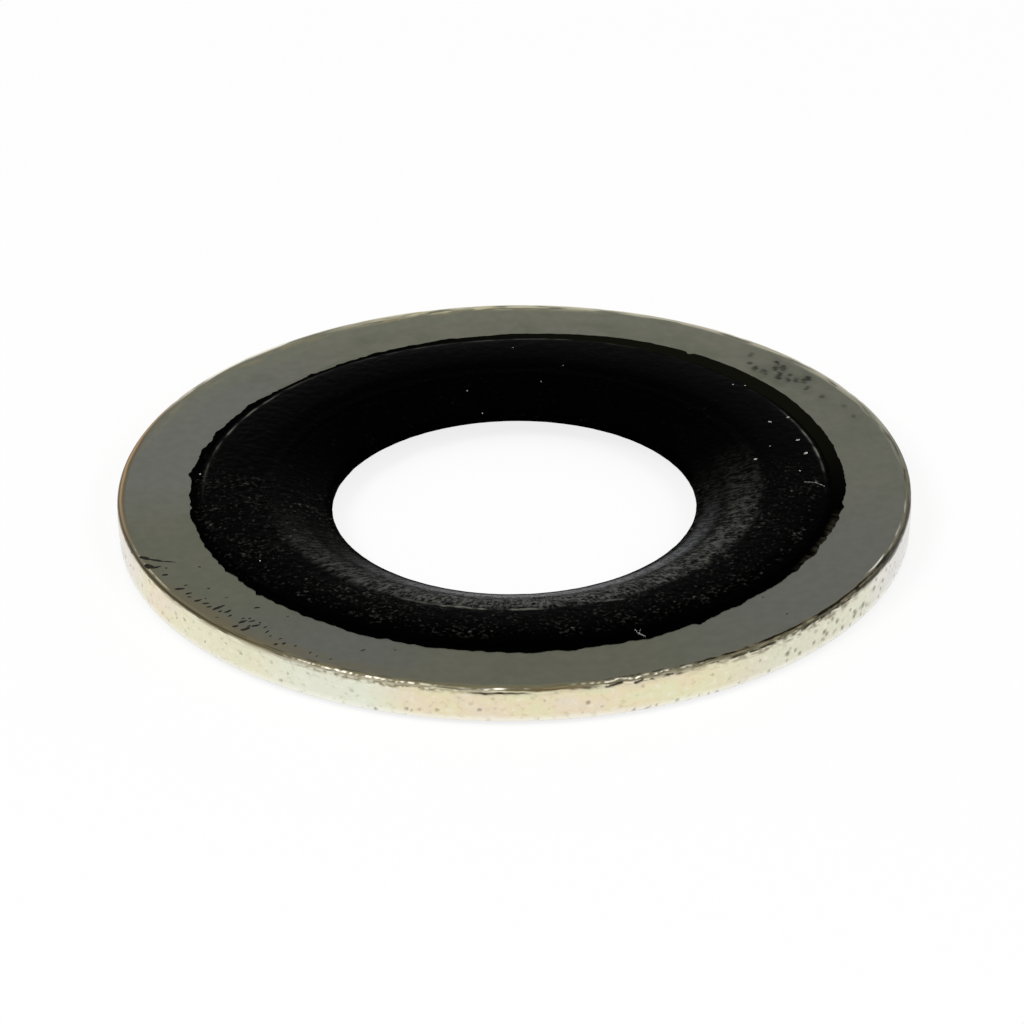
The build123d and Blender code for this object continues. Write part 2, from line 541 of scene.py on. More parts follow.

# %% [markdown]
# ## Painted glints on the rolled corner
#
# The rolled corner shows short bright glints, dark lines between them and brown and tan tints,
# and on the far side a pale line along the face's border. The glints and that pale line are
# painted highlights in the corner's colour. Nodes could make a pattern for each, but each part of
# the corner looks different. So they are painted on the ring's own points, in strokes that lie over
# each other, and the material lays the painted colour over its own.

# %% Strokes of painted glints, dark lines and tints
strokes = [  # colour, turn and spread in degrees, how far down the corner and half its height in
             # mm, strength, and the length in mm of its breaks, or 0 where it has none
    # the pale strokes are painted highlights; the others are dark lines and tints
    ("#6f6a55", 0, 0, 0.06, 0.09, 0.80, 0), ("#5d563e", 0, 0, 0.16, 0.09, 0.85, 0),
    ("#b0a992", 0, 0, 0.27, 0.10, 0.85, 0.8), ("#cfc8ae", 0, 0, 0.40, 0.14, 0.50, 1.2),
    ("#7a7355", 122, 48, -0.27, 0.27, 0.90, 0.8), ("#cbc3a0", 97, 23, -0.12, 0.30, 0.75, 0.55),
    ("#c4bfa9", 70, 68, -0.05, 0.20, 0.75, 1.0), ("#e0dbc9", 85, 78, 0.07, 0.12, 1.00, 0),
    ("#e6e2d3", 130, 24, 0.04, 0.12, 1.60, 1.5), ("#6a6143", 146, 24, -0.14, 0.10, 0.70, 0.8),
    ("#5a4a28", 172, 24, -0.03, 0.10, 0.80, 0), ("#b38c5a", 168, 28, 0.07, 0.08, 0.90, 0),
    ("#b8b097", 203, 10, 0.04, 0.045, 1.30, 0.4), ("#2e2412", 203, 38, 0.15, 0.04, 1.25, 0),
    ("#8a6a3c", 190, 22, 0.20, 0.05, 0.60, 0.5), ("#1b180f", 240, 22, 0.06, 0.04, 0.90, 0.6),
    ("#8b8268", 250, 18, 0.34, 0.15, 1.20, 0.16), ("#e8e3d3", 247, 13, 0.18, 0.055, 1.15, 0.12),
    ("#16130c", 267.5, 5, 0.36, 0.07, 2.00, 0), ("#f4f1e6", 267, 5, 0.20, 0.05, 1.20, 0.3),
    ("#66573a", 275, 8, 0.25, 0.08, 1.20, 0), ("#e6e1d2", 288, 11, 0.12, 0.055, 1.15, 0.14),
    ("#39342a", 287, 12, 0.29, 0.10, 1.30, 0.2), ("#1b180f", 290, 10, 0.02, 0.05, 1.40, 0.2),
    ("#16130c", 306, 13, 0.08, 0.07, 2.40, 0.4), ("#3d3827", 308, 13, 0.27, 0.08, 1.60, 0.3),
    ("#12100a", 323, 22, 0.11, 0.08, 3.40, 0.9), ("#2b2619", 320, 22, 0.27, 0.07, 1.60, 0.3),
    ("#2b2619", 340, 17, 0.20, 0.13, 1.80, 0.4), ("#a59c80", 318, 20, 0.16, 0.04, 0.80, 0.3),
    ("#88836f", 314, 20, 0.40, 0.16, 1.10, 0.25), ("#57523f", 343, 14, 0.33, 0.13, 1.50, 0.8),
    ("#d8d5c9", 341, 15, 0.02, 0.05, 1.50, 0.9), ("#3b3628", 352, 15, 0.20, 0.14, 1.60, 0.6),
    ("#2c281e", 8, 14, 0.02, 0.08, 0.90, 1.0), ("#3b382e", 342, 16, 0.28, 0.12, 1.60, 0),
]
stroke_paints = [Vector(linear(stroke[0])[:3]) for stroke in strokes]
break_width = 0.12  # mm
first_break_layer = 40


def corner_colour(turn, down):
    """The painted colour and its cover, this far in mm down from where the corner starts."""
    down += 0.03 * ring_noise(turn, 0, 1.5, 1, 30)
    down += 0.05 * swell(turn, 285, 60) * ring_noise(turn, 0, 0.3, 1, 31)  # rough on this side
    colour, cover = stroke_paints[0], 0.0
    for number, (_, centre, spread, middle, half, strength, breaks) in enumerate(strokes):
        aside = abs(down - middle) / half
        share = strength * (swell(turn, centre, spread) ** 0.5 if spread else 1.0)
        if aside >= 1 or share == 0:
            continue
        share *= 0.5 + 0.5 * math.cos(math.pi * aside)
        if breaks:
            layer = first_break_layer + number
            share *= limited(0.5 + 3 * ring_noise(turn, down, breaks, break_width, layer))
        share = min(share, 1.0)
        both = share + cover * (1 - share)
        if both > 0:
            colour = (stroke_paints[number] * share + colour * cover * (1 - share)) / both
        cover = both
    return colour, cover


print(len(strokes), "strokes of wear")

# %% Painting the strokes on the ring
rolled_length = 0.314  # mm, a quarter turn at the corner's radius
paint_layer = ring_section.verts.layers.float_color.new("corner_paint")
painted = 0
for point in ring_section.verts:
    out, up, turn = measured(point)
    if up <= 0.8 or out <= border_start:
        point[paint_layer] = (*stroke_paints[0], 0)
        continue
    if up < roll_up:
        down = rolled_length + roll_up - up
    elif out < roll_out:
        down = out - roll_out
    else:
        down = roll_radius * math.atan2(out - roll_out, up - roll_up)
    colour, cover = corner_colour(turn, down)
    point[paint_layer] = (*colour, cover)
    painted += 1
print(painted, "points of the corner painted")

# %% [markdown]
# ## A dried stain
#
# A splash dried on the face and left a crowd of small dark spots with a soft haze between them.
# Flat flakes could lie there, but the haze has no edge. So the spots are painted on the face's
# points, each a little longer than wide and made ragged by noise. They are separate drops that
# dried on their own.

# %% Spots that dried apart
stain_places = [  # radius, turn, half its width in mm, and how dark it is
    (13.49, 43.9, 0.12, 1.0), (13.38, 42.1, 0.15, 1.0), (13.17, 42.9, 0.14, 0.9),
    (12.66, 43.2, 0.14, 1.0), (12.62, 45.2, 0.12, 0.6), (12.98, 41.0, 0.11, 0.8),
    (12.76, 40.1, 0.14, 0.9), (12.92, 38.7, 0.11, 0.8), (13.10, 37.6, 0.12, 0.9),
    (13.27, 36.7, 0.11, 1.0), (13.50, 36.9, 0.13, 1.0), (13.06, 34.4, 0.10, 0.8),
    (12.80, 46.9, 0.09, 0.5), (13.20, 39.6, 0.09, 0.6), (13.35, 48.9, 0.14, 0.30),
    (13.13, 30.7, 0.10, 0.30), (13.47, 26.4, 0.10, 0.3), (13.43, 22.8, 0.10, 0.3),
]
stain_radii, stain_turns = (12.3, 13.8), (math.radians(20), math.radians(52))
spot_length = 1.8  # times the spot's width
haze_reach = 3.5  # times half its width
ragged_by, ragged_size = 0.08, 0.15  # mm


def stain_at(place, turn, out):
    """How dark the stain is at this place of the face, 0 to 1."""
    place = place + ragged_by * noise.noise_vector(place / ragged_size)
    darkest = 0.0
    for spot_out, degrees, half_width, strength in stain_places:
        spot_turn = math.radians(degrees)
        spot = Vector((math.cos(spot_turn), math.sin(spot_turn), 0)) * spot_out
        aside, along = (place - spot).xy / half_width
        apart = math.hypot(aside, along / spot_length)
        darkest = max(darkest, 2.8 * strength * (1 - apart ** 2),
                      0.38 * strength * (1 - apart / haze_reach))
    return min(1, darkest) * limited(0.95 + 0.8 * ring_noise(turn, out, 0.25, 0.25, 33))


stain_layer = ring_section.verts.layers.float.new("stain")
for point in ring_section.verts:
    out, up, turn = measured(point)
    if (up >= upper_face - 0.01 and stain_radii[0] < out < stain_radii[1]
            and stain_turns[0] < turn < stain_turns[1]):
        point[stain_layer] = stain_at(point.co / MM, turn, out)
print(len(stain_places), "spots of stain")

# %% [markdown]
# ## Nicks, torn steel and pits
#
# Tumbling has nicked the ring's corner, the torn band is rough from the break, and acid before the
# plating left pits in the edge. Bump in the material could hint at them, but the corner's outline
# would stay smooth. So they are real dents: the edge's points are pushed towards the axis, by
# noise for the nicks and the torn steel, and round a centre for each pit.

# %% Nicks and torn steel
def push_in(point, depth):
    """Moves a point of the blanked edge towards the axis by this depth in millimetres."""
    length = math.hypot(point.co.x, point.co.y)
    point.co.x -= point.co.x / length * depth * MM
    point.co.y -= point.co.y / length * depth * MM


edge_start = 14.1  # mm, the radius from which a point belongs to the edge
nick_length, nick_height, nick_depth, nick_drop = 0.7, 0.25, 0.03, 0.015  # mm
tear_length, tear_height, tear_depth = 0.16, 0.3, 0.012  # mm
for point in ring_section.verts:
    out, up, turn = measured(point)
    if out <= edge_start:
        continue
    if up > 1.38:
        nick = max(0.0, ring_noise(turn, up, nick_length, nick_height, 1) - 0.15)
        nick *= 1 - 0.8 * swell(turn, 195, 45)
        push_in(point, nick_depth * nick)
        point.co.z -= nick_drop * nick * MM
    elif 0.21 < up < torn_top:
        push_in(point, tear_depth * (1 + ring_noise(turn, up, tear_length, tear_height, 2)))
print("nicks up to", nick_depth, "mm deep")

# %% Pits in the blanked edge
random.seed(11)
# the pits' share also paints them darker in the material, as shade
pit_layer = ring_section.verts.layers.float.new("pits")
edge_points = [point for point in ring_section.verts
               if math.hypot(point.co.x, point.co.y) > 14.15 * MM and point.co.z < 1.42 * MM]
nearby = KDTree(len(edge_points))
for number, point in enumerate(edge_points):
    nearby.insert(point.co, number)
nearby.balance()
pit_radius = 14.28  # mm, of the pits' centres
pit_depth = 0.03  # mm, of the deepest


def make_pit(turn, up, size, share_at_centre):
    """Pushes in the points within this many millimetres of a place on the edge."""
    centre = Vector((pit_radius * math.cos(turn), pit_radius * math.sin(turn), up)) * MM
    for _, number, distance in nearby.find_range(centre, size * MM):
        share = share_at_centre * (1 - distance / (size * MM)) ** 0.5
        point = edge_points[number]
        if share > point[pit_layer]:
            push_in(point, pit_depth * (share - point[pit_layer]))
            point[pit_layer] = share


pit_tries = 520
for _ in range(pit_tries):
    turn, up = random.uniform(0, FULL_TURN), random.uniform(0.22, 1.35)
    size, share = random.uniform(0.05, 0.095), random.uniform(0.15, 0.9)
    crowding = max(0.3, swell(turn, 330, 35), swell(turn, 195, 45), swell(turn, 100, 60))
    size += 0.05 * swell(turn, 326, 22) * random.random()
    if swell(turn, 296, 16) > random.random() and up < 0.7:
        up, share = random.uniform(0.22, 0.34), random.uniform(0.6, 1.0)
    elif random.random() > crowding:
        continue
    make_pit(turn, up, size, share)
large_pits = [  # turn, height and half its width
    (306.9, 1.33, 0.13), (312.1, 0.70, 0.13), (314.6, 0.46, 0.10), (317.5, 0.58, 0.09),
    (319.8, 0.78, 0.12), (320.4, 0.63, 0.11), (322.7, 0.90, 0.12), (324.6, 1.33, 0.13),
    (327.3, 0.75, 0.10), (327.3, 0.55, 0.11), (329.8, 0.71, 0.14), (333.1, 0.97, 0.13),
    (336.3, 0.89, 0.11),
]
for degrees, up, size in large_pits:
    make_pit(math.radians(degrees), up, size, 0.9)
print("pits:", pit_tries, "tries and", len(large_pits), "large ones")
finish_piece(ring_section, "blanked_steel_ring", plating, "steel_ring")

# %% [markdown]
# ## Moulded rubber
#
# Nitrile rubber with carbon black is about as dark as a material gets. What the eye sees is its
# moulded skin: next to no mirror light from above, and more and more at a glancing angle, which
# draws out each wrinkle of the taper that leans away. That glancing sheen on the near taper and the
# lip is also painted into the colour, as a pale grey, and fine dust lies on the rubber. A picture
# could hold all this, but noise in millimetres keeps its grain at any distance. So the colour is
# nearly black apart from the painted sheen and the dust, the mirror light is weak, and the shape of
# the skin does most of the work.

# %% The grain of nitrile rubber, as relief
rubber, tree, skin = start_finish("moulded_nitrile_rubber")
place = place_in_mm(tree)
direction, radius = round_place(tree, place)
grain_size = 0.16  # mm, of the mould's spark-eroded grain, drawn coarser so that it shows
relief_depth = 0.010  # mm
grain = add_node(tree, "TexNoise", {"Vector": place, "Scale": 1 / grain_size, "Detail": 2.0})
wrinkles = add_node(tree, "Mix", {
    "Factor": near_turn(tree, direction, 195, 40),
    2: ring_pattern(tree, direction, radius, 0.5, 0.13, 4, 4.0),  # leathery, along the ring
    3: ring_pattern(tree, direction, radius, 0.10, 1.2, 5, 2.0),  # fanned out, at the left
})
on_taper = amount(tree, (radius, 9.2, 8.8))
on_steel, on_lip_tip = amount(tree, (radius, 11.3, 11.4)), amount(tree, (radius, 7.0, 6.7))
relief = grain
for share, pattern in [(on_taper, amount(tree, (wrinkles, 0.35, 0.65))),
                       (on_steel, 0.5), (on_lip_tip, 0.5)]:
    relief = add_node(tree, "Mix", {"Factor": share, 2: relief, 3: pattern})
bump = add_node(tree, "Bump", {"Strength": 1.0, "Distance": relief_depth * MM,
                               "Height": relief})
tree.links.new(bump, skin["Normal"])
print("relief", relief_depth, "mm deep")

# %% Where a sheen is painted
near_side = near_turn(tree, direction, 284, 102)
grit_length, grit_width = 0.15, 0.28  # mm
grit = ring_pattern(tree, direction, radius, grit_length, grit_width, 15, 2.0)
# a painted sheen on the near taper, in streaks that follow its wrinkles
taper_sheen = add_node(tree, "Mix", {
    "Factor": near_turn(tree, direction, 212, 44),
    2: ring_pattern(tree, direction, radius, 0.45, 0.22, 14, 4.0),
    3: ring_pattern(tree, direction, radius, 0.16, 1.40, 16, 3.0),
})
taper_sheen = add_node(tree, "Math", {0: taper_sheen, 1: 0.8, 2: grit}, operation="MULTIPLY_ADD")
dip = amount(tree, (radius, 7.55, 8.0, 0.35, 1.0))  # the dark dip behind the lip, where the painted sheen and the mirror light are weaker
taper_sheen = amount(tree, (taper_sheen, 0.77, 1.12), (radius, 9.15, 8.7), dip, near_side)
on_lip = amount(tree, (radius, 7.60, 7.20), (radius, 6.72, 7.0))
# a painted sheen on the lip, on the near side
lip_sheen = amount(tree, near_turn(tree, direction, 284, 78), on_lip,
                   (grit, 0.38, 0.62, 0.25, 1.0))
print("grit", grit_length, "by", grit_width, "mm in the bloom")

# %% Where it is olive, frayed or dusty, and where highlights are painted
olive = amount(tree, (radius, 11.40, 11.46), near_turn(tree, direction, 52, 62))
frayed = amount(tree, near_turn(tree, direction, 339, 13), (radius, 11.5, 11.8),
                (ring_pattern(tree, direction, radius, 0.16, 0.5, 12), 0.36, 0.72))
speck_size, crowd_size = 0.15, 1.3  # mm; real specks are finer, and wouldn't show
specks, crowds = [
    add_node(tree, "TexNoise", {"Vector": place, "Scale": 1 / size, "Detail": 1.0})
    for size in (speck_size, crowd_size)]
specks = add_node(tree, "Math", {0: crowds, 1: 0.3, 2: specks}, operation="MULTIPLY_ADD")
far_from_rear = (near_turn(tree, direction, 90, 110), 0.45, 0.0, 0.05, 1.0)
dusty = amount(tree, far_from_rear, (radius, 11.2, 10.8))
left_edge = amount(tree, (radius, 10.8, 11.2), (radius, 11.62, 11.42))
dusty = add_node(tree, "Math", {
    0: left_edge, 1: near_turn(tree, direction, 190, 34), 2: dusty}, operation="MULTIPLY_ADD")
# the painted highlights of the creases and the crown's edge
painted_highlights = add_node(tree, "Attribute", attribute_name="painted_highlights", output="Fac")
print("specks of", speck_size, "mm")

# %% Nitrile rubber's colour, in layers
layers = [
    # the two pale greys after the frayed one are the painted sheen of the taper and of the lip
    (olive, "#10100a"), (frayed, "#38342a"), (taper_sheen, "#555550"), (lip_sheen, "#626366"),
    (amount(tree, (specks, 0.70, 1.00), dusty), "#2c2c29"),
    (amount(tree, (specks, 0.90, 1.04), dusty), "#5c5b55"),
    (amount(tree, painted_highlights, painted_highlights), "#74736b"),  # a painted highlight on the creases and the crown's edge; the square makes each line narrower
]
colour = linear("#010101")
for share, tint in layers:
    colour = add_node(tree, "Mix", {
        "Factor": share, 6: colour, 7: linear(tint)}, data_type="RGBA")
tree.links.new(colour, skin["Base Color"])
print(len(layers), "tints on the rubber")

# %% The rubber's shine
skin["Roughness"].default_value = 0.24  # smooth between the grains
shiny_taper = amount(tree, near_side, (radius, 9.1, 8.7), dip)
wet_lip = amount(tree, near_turn(tree, direction, 296, 62), on_lip)
mirror_light = 0.0025  # far below the usual 0.5, so that it stays black from above
for share, more in [(shiny_taper, 0.0022), (wet_lip, 0.0042)]:
    mirror_light = add_node(tree, "Math", {0: share, 1: more, 2: mirror_light},
                            operation="MULTIPLY_ADD")
near_edge = amount(tree, near_side, (radius, 10.2, 10.9))
quiet = amount(tree, near_turn(tree, direction, 90, 110), (radius, 9.9, 9.2))
mirror_light = amount(tree, mirror_light, (radius, 11.25, 11.45, 1.0, 0.2),
                      (near_edge, 0.0, 1.0, 1.0, 0.3), (radius, 6.70, 6.95, 0.2, 1.0),
                      (quiet, 0.0, 1.0, 1.0, 0.35))
tree.links.new(mirror_light, skin["Specular IOR Level"])
print(rubber.name, "has", len(tree.nodes), "nodes")

# %% [markdown]
# ## The rubber seal
#
# The seal is one moulding: a thin lip that centres the bolt, a taper up to the crown, and the crown
# that a flange squeezes. Both faces are alike. It could be drawn as one whole section, but half of
# it, mirrored over the washer's middle height, can't come out uneven. Only its upper half is then
# divided finely, because the wrinkles that anyone sees are there.

# %% The seal's section, spun
lip_radius, skin_tip = 6.55, 12.0  # mm, of the bore and of the skin before it is worn back
crown_height, skin_height = 1.8, 1.618  # mm
middle_height, half_thickness = 0.9, 0.7  # mm, of the steel
skin_foot = 11.38  # mm, where the skin starts from the crown's side
seal_section = start_section([
    (lip_radius, middle_height), (lip_radius, 0.985), (6.62, 0.995), (8.75, 1.7),
    (9.395, crown_height), (10.685, crown_height), (11.33, 1.74), (skin_foot, 1.625),
    (skin_tip, skin_height), (skin_tip, upper_face), (bond_radius + bore_chamfer, upper_face),
    (bond_radius, upper_face - bore_chamfer), (bond_radius, middle_height),
], closed=False)
for corner, reach, segments in [
        ((9.395, crown_height), 0.6, 5), ((10.685, crown_height), 0.6, 5),
        ((8.75, 1.7), 0.2, 2), ((11.33, 1.74), 0.05, 3), ((lip_radius, 0.985), 0.03, 2)]:
    round_corner(seal_section, corner, reach, segments)
bmesh.ops.mirror(seal_section, geom=seal_section.verts[:] + seal_section.edges[:],
                 matrix=Matrix.Translation((0, 0, -middle_height * MM)),
                 merge_dist=merge_reach, axis="Z")
divide_section(seal_section, 0.085, (6.6, 9.1), (0.95, 1.9))  # the lip and the taper
divide_section(seal_section, 0.100, (9.1, 11.9), (1.61, 1.9))  # the crown and the skin
seal_steps = 900  # of 0.06 mm on the taper
spin_section(seal_section, seal_steps)

# %% [markdown]
# ## The skin of rubber that crept over the steel
#
# In the press, a little rubber creeps between the mould and the steel and sets there as a thin
# skin with a ragged edge. It could be a black colour on the steel, but it has a thickness that
# catches the light. So it is part of the seal's section, drawn too wide, and each of its points is
# pulled back to where the skin ends at that turn: wide swells, small nibs, and noise.

# %% Where the skin ends
skin_reach, least_reach = 11.72, 11.52  # mm, where nothing else happens, and the least
skin_swells = [  # turn and spread in degrees, and how much further it goes, in mm
    (56, 52, 0.44), (5, 50, 0.20), (285, 35, 0.16), (130, 30, -0.20), (322, 14, -0.06),
    (173.2, 1.1, 0.12), (219.2, 1.0, 0.11), (303.0, 0.8, 0.10), (57.4, 0.9, -0.14),
]


def skin_edge(turn, side):
    """How far from the axis the skin ends on the upper (1) or lower (-1) face, in mm."""
    if side < 0:
        return 11.75 + 0.08 * ring_noise(turn, 0, 0.6, 1, 7)
    reach = skin_reach + sum(rise * swell(turn, centre, spread)
                             for centre, spread, rise in skin_swells)
    ragged = 1 - 0.8 * swell(turn, 55, 85)
    reach += ragged * (0.11 * ring_noise(turn, 0, 0.8, 1, 5)
                       + 0.06 * ring_noise(turn, 0, 0.26, 1, 6))
    return max(reach, least_reach)


def skin_place(turn, out, side, start):
    """Where a point of the skin goes, when the skin that starts here is pulled back."""
    if out <= start:
        return out
    return start + (out - start) * (skin_edge(turn, side) - start) / (skin_tip - start)


print("skin ends", [round(skin_edge(math.radians(turn), 1), 2) for turn in range(0, 360, 45)])

# %% [markdown]
# ## Wrinkles, lumps and creases
#
# Rubber shrinks as it cools, so the crown sags and is a little lumpy, and the taper wrinkles: in
# streaks along the ring, fanned out on the left, and like sand elsewhere. The creases at the top
# of the taper, and the crown's edge in places, carry a painted highlight: a pale line in their
# colour. It could be sculpted, but noise with a length and a width in millimetres can be set and
# repeated. So each point is moved by it, within windows that keep the lip and the bonded wall where
# they are.

# %% Creases at the top of the taper
def window(value, start, end, soft):
    """1 between start and end, fading to 0 over this distance outside them."""
    return limited(min((value - start) / soft + 1, (end - value) / soft + 1))


crease_marks = [  # turn and spread in degrees, radius at its start and end, strength
    (258.0, 6.4, 8.98, 8.98, 1.05), (248.0, 6.0, 9.03, 8.97, 0.65),
    (272.4, 4.8, 8.97, 8.99, 0.85), (291.5, 4.0, 8.93, 9.18, 0.80),
]
crease_half = 0.04  # mm


def crease_at(turn, out):
    """How strongly the crease at the top of the taper shows here, 0 to 1."""
    strongest = 0.0
    for centre, spread, start, end, strength in crease_marks:
        along = (math.degrees(turn) - centre + 180) % 360 - 180
        if abs(along) < spread:
            middle = start + (end - start) * (along / spread + 1) / 2
            middle += 0.03 * ring_noise(turn, 0, 1.2, 1, 13)
            ends = min(1.0, 3 * (1 - abs(along) / spread))
            across = window(out, middle - crease_half, middle + crease_half, 0.07)
            strongest = max(strongest, strength * ends * across)
    return strongest


def highlight_at(turn, out):
    """How strongly the painted highlight shows on the crown's edge and the creases here, 0 to 1."""
    if out < 11.1:
        return crease_at(turn, out) * limited(0.8 + 0.8 * ring_noise(turn, out, 0.4, 0.1, 18))
    line_shown = limited(0.75 + 1.4 * ring_noise(turn, 0, 0.8, 1, 17))
    highlit = max(0.6 * swell(turn, 95, 60), 1.15 * swell(turn, 15, 24),
                 0.95 * swell(turn, 153, 40))
    return min(1.0, highlit * window(out, 11.17, 11.24, 0.04) * line_shown)


print(len(crease_marks), "creases")

# %% Sagging and wrinkling
face_layers = {1: 10, -1: 20}  # the upper and the lower face have noise of their own
taper_start, taper_width, taper_bulge = 6.62, 2.13, 0.05  # mm


def moulded_rise(turn, out, side):
    """How far a point of the moulding rises away from the steel, in mm."""
    layer = face_layers[side]
    taper = limited((out - taper_start) / taper_width)
    rise = taper_bulge * 4 * taper * (1 - taper)
    crown = window(out, 9.0, 11.3, 0.3)
    rise -= crown * (0.024 - 0.004 * ring_noise(turn, out, 2.5, 1.2, layer))  # the sag
    rise -= 0.03 * max(0, (out - 10.5) / 0.83) ** 2  # towards the crown's edge
    lumps = 0.016 - 0.010 * swell(turn, 60, 130)
    rise += crown * lumps * ring_noise(turn, out, 0.3, 0.3, layer + 2)
    near_lip = max(0.25, min(1.0, (out - 6.9) / 0.9))  # less than 1 where it is smoother
    streaks = 0.028 * near_lip * swell(turn, 265, 95)
    fans = 0.016 * swell(turn, 192, 50)
    sand = 0.016 * max(0.3, swell(turn, 345, 60))
    rise += window(out, 6.75, 8.95, 0.15) * (
        streaks * ring_noise(turn, out, 0.6, 0.22, layer + 1, 3)
        + fans * ring_noise(turn, out, 0.17, 1.4, layer + 7)
        + sand * ring_noise(turn, out, 0.2, 0.24, layer + 8))
    if side > 0:
        rise += 0.006 * crease_at(turn, out)
    return rise


print("sag at the crown:", round(moulded_rise(0.0, 10.0, 1), 3), "mm")

# %% Moving the seal's points
# where the painted highlights of the creases and the crown's edge go
highlight_layer = seal_section.verts.layers.float.new("painted_highlights")
inside_bond = bond_radius - 0.01
for point in seal_section.verts:
    out, up, turn = measured(point)
    side = 1 if up > middle_height else -1
    from_steel = side * (up - middle_height) - half_thickness
    layer = face_layers[side]
    new_out, rise = out, 0.0
    if out > inside_bond and from_steel > -0.01:
        start = skin_foot if from_steel > 0.001 else bond_radius + bore_chamfer
        new_out = skin_place(turn, out, side, start)
    elif out < 6.7:  # the lip's edge is a little wavy
        new_out += 0.012 * (1 + ring_noise(turn, 0, 0.8, 1, layer + 4))
    elif out < inside_bond:
        rise = moulded_rise(turn, out, side)
        if side > 0:
            # the painted highlight of the creases and the crown's edge
            point[highlight_layer] = highlight_at(turn, out)
        if out > 11.2 and from_steel > 0.05:  # and so is the crown's
            new_out += 0.012 * ring_noise(turn, 0, 0.45, 1, layer + 5)
            rise += 0.006 * ring_noise(turn, 0, 0.3, 1, layer + 6)
    if side > 0 and out > 10.6 and from_steel > -0.01:  # the far side was moulded wider
        new_out += 0.20 * swell(turn, 68, 34) * window(out, 11.2, 11.42, 0.5)
    if from_steel < -0.69 or 0 < from_steel < 0.05:
        rise = 0.0  # the middle of the bore's wall and the foot of the crown stay where they are
    point.co.x *= new_out / out
    point.co.y *= new_out / out
    point.co.z += side * rise * MM
seal_ground = BVHTree.FromBMesh(seal_section)
finish_piece(seal_section, "moulded_rubber_seal", rubber, "rubber_seal")

# %% [markdown]
# ## Marks on the steel
#
# In the barrel and in a bag, other washers struck the ring. It has short ticks, a few scratches
# and lone specks, all filled with oil that has dried to a matt, nearly black crust. They could be
# painted as the stain is, but a tick is finer than the face's points. So each is a thin flake: an
# icosphere, flattened, made ragged by noise and laid into the face.

# %% Dried oil residue
residue, tree, crust = start_finish("dried_oil_residue")
crust_size = 0.15  # mm, of its crumbs, drawn coarser than they are so that they show
crumbs = add_node(tree, "TexNoise", {
    "Vector": place_in_mm(tree), "Scale": 1 / crust_size, "Detail": 2.0})
crumb_colour = add_node(tree, "ValToRGB", {"Fac": crumbs}, stops=[
    (0.35, "#0a0805"), (0.65, "#1c1811")])
tree.links.new(crumb_colour, crust["Base Color"])
crust["Roughness"].default_value = 0.7  # matt
crust["Specular IOR Level"].default_value = 0.1  # and hardly any mirror light
print(residue.name, "has", len(tree.nodes), "nodes")

# %% One flattened chip, and a flake of residue
def spot_on_ring(out, degrees, height):
    """The turn in radians and the place in metres of this radius and height in millimetres."""
    turn = math.radians(degrees)
    return turn, Vector((out * math.cos(turn), out * math.sin(turn), height)) * MM


def add_chip(shape, place, turn, slant, half_sizes, subdivisions, lean=Matrix()):
    """Adds a flattened ball and hands back its points.

    slant is its angle to the circle in degrees, and lean tilts it on to the ground it lies on.
    """
    heading = Matrix.Rotation(turn + math.pi / 2 + math.radians(slant), 4, "Z")
    size = Matrix.Diagonal(Vector(half_sizes) * MM).to_4x4()
    chip = bmesh.ops.create_icosphere(shape, subdivisions=subdivisions, radius=1.0,
                                      matrix=Matrix.Translation(place) @ lean @ heading @ size)
    return chip["verts"]


flake_thickness = 0.006  # mm, above the face


def lay_flake(shape, out, degrees, length, width, slant):
    """Lays a ragged flake on the steel at this radius and turn."""
    turn, place = spot_on_ring(out, degrees, upper_face)
    half_sizes = (length / 2, width / 2, flake_thickness)
    for point in add_chip(shape, place, turn, slant, half_sizes, 2):
        ragged = noise.noise_vector(point.co / (0.07 * MM))
        point.co.x += 0.35 * width * ragged.x * MM
        point.co.y += 0.35 * width * ragged.y * MM


print("a flake stands", flake_thickness, "mm above the face")

# %% Ticks, scratches and lone specks
ticks = [  # radius, turn, length and width of each
    (13.81, 210.4, 0.30, 0.13), (13.72, 212.3, 0.20, 0.10), (13.80, 213.3, 0.14, 0.09),
    (13.70, 214.9, 0.26, 0.12), (13.60, 216.3, 0.20, 0.11), (13.66, 217.5, 0.16, 0.10),
    (13.48, 218.5, 0.34, 0.14), (13.55, 219.6, 0.14, 0.08), (13.36, 220.4, 0.24, 0.12),
    (13.50, 221.6, 0.18, 0.09), (13.30, 223.6, 0.16, 0.08), (13.46, 224.3, 0.30, 0.13),
    (13.22, 225.2, 0.22, 0.10), (13.52, 225.9, 0.14, 0.09), (13.34, 226.6, 0.28, 0.11),
    (13.75, 226.2, 0.32, 0.15), (13.85, 224.5, 0.19, 0.13), (13.20, 228.0, 0.16, 0.07),
    (13.40, 229.2, 0.20, 0.07), (13.56, 230.4, 0.10, 0.06), (13.50, 232.1, 0.13, 0.09),
    (13.68, 233.4, 0.14, 0.12), (13.89, 232.6, 0.14, 0.12), (13.60, 235.2, 0.10, 0.06),
    (13.91, 220.7, 0.12, 0.05), (13.72, 238.2, 0.12, 0.06), (13.80, 239.6, 0.10, 0.06),
    (13.76, 241.8, 0.14, 0.05),
]
